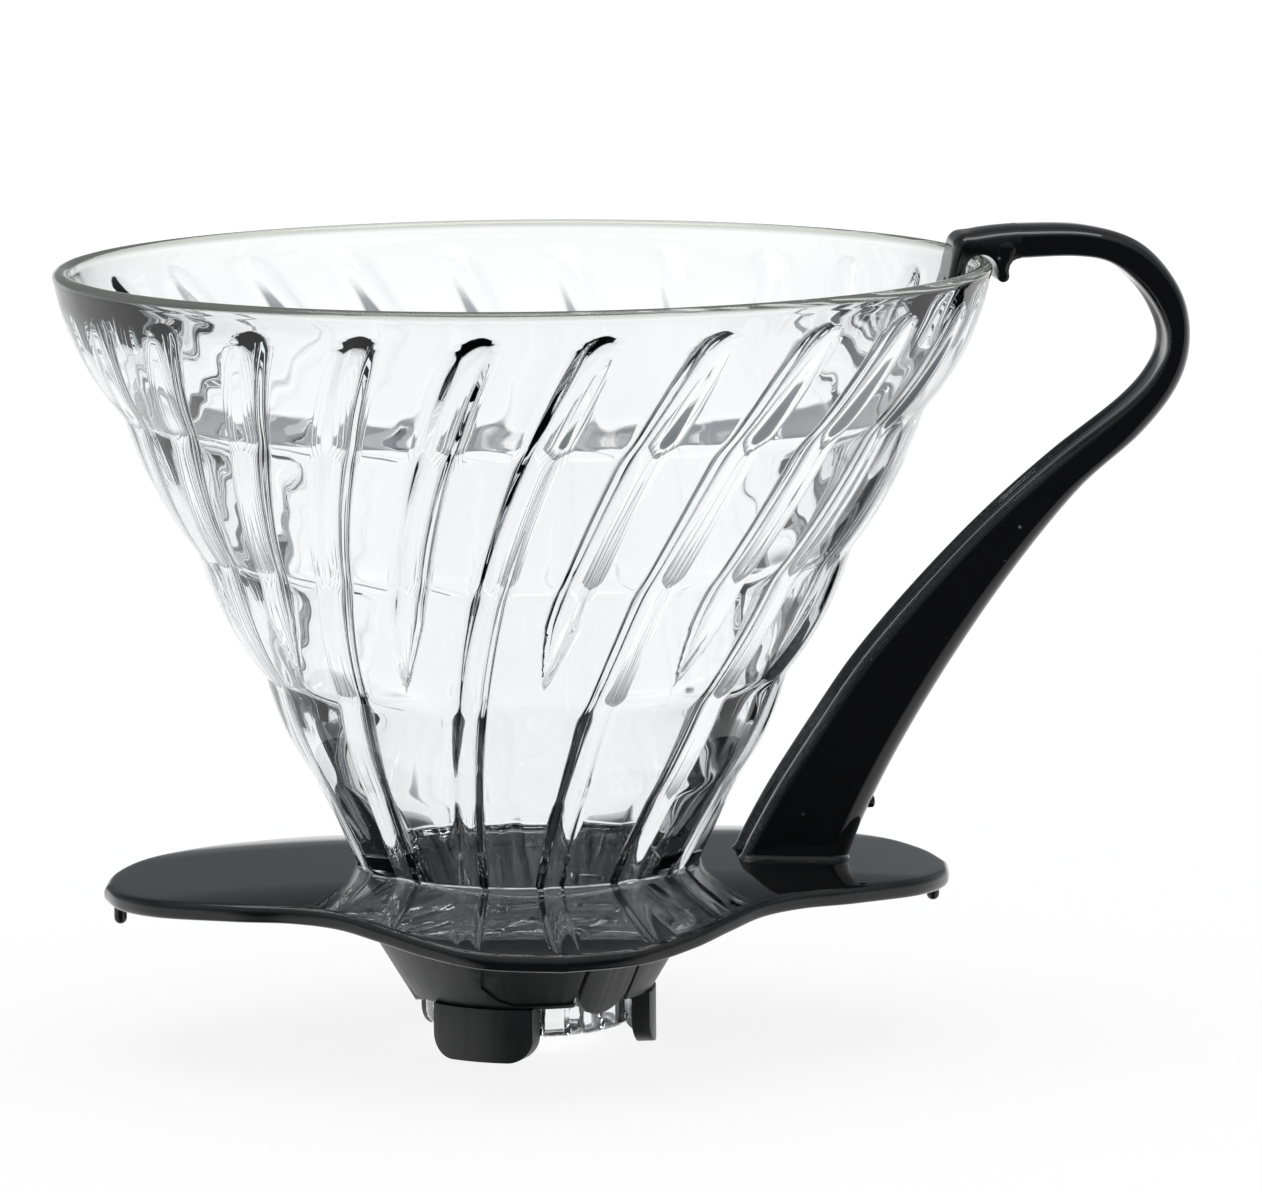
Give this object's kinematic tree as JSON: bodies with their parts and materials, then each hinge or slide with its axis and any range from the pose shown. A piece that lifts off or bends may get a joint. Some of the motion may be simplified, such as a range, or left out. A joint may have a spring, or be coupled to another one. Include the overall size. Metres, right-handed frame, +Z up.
{
  "type": "pour over coffee dripper",
  "caption": "Ribbed clear glass cone for drip coffee in a black plastic holder with a saddle-shaped plate, short legs, snap fingers and a hooked side handle.",
  "frame": {"origin": "on the axis of the glass cone, in the plane of the three leg ends", "axes": "+Z up along the cone's axis, +X towards the handle"},
  "size_m": [0.1414, 0.116, 0.1012],
  "materials": {
    "glass": "clear, polished",
    "black_gloss": "glossy",
    "black_satin": "satin"
  },
  "bodies": {
    "holder": {"base_plate": "black_gloss", "collar": "black_satin", "leg_1": "black_satin", "leg_2": "black_satin", "leg_3": "black_satin", "stud_left": "black_gloss", "stud_right": "black_gloss"},
    "glass": {"glass_cone": "glass", "long_ribs": "glass", "short_ribs": "glass"},
    "handle": {"handle": "black_gloss", "rim_hook": "black_gloss", "handle_tenon": "black_gloss"},
    "finger_1": {"snap_finger_1": "black_satin"},
    "finger_2": {"snap_finger_2": "black_satin"},
    "finger_3": {"snap_finger_3": "black_satin"}
  },
  "joints": [
    {"name": "glass_lift", "type": "slide", "parent": "holder", "child": "glass", "axis": [0, 0, 1], "range_m": [0, 0.09]},
    {"name": "handle_lift", "type": "slide", "parent": "glass", "child": "handle", "axis": [0, 0, 1], "range_m": [0, 0.006]},
    {"name": "finger_1_flex", "type": "hinge", "parent": "holder", "child": "finger_1", "pos_m": [0.00982, 0.017, 0.015], "axis": [0.866, -0.5, 0], "range_deg": [0, 8], "stiffness_Nm_per_rad": 0.002},
    {"name": "finger_2_flex", "type": "hinge", "parent": "holder", "child": "finger_2", "pos_m": [-0.01963, 0, 0.015], "axis": [0, 1, 0], "range_deg": [0, 8], "stiffness_Nm_per_rad": 0.002},
    {"name": "finger_3_flex", "type": "hinge", "parent": "holder", "child": "finger_3", "pos_m": [0.00982, -0.017, 0.015], "axis": [-0.866, -0.5, 0], "range_deg": [0, 8], "stiffness_Nm_per_rad": 0.002}
  ],
  "couplings": [
    {"joint": "finger_2_flex", "follows": "finger_1_flex", "ratio": 1},
    {"joint": "finger_3_flex", "follows": "finger_1_flex", "ratio": 1}
  ]
}
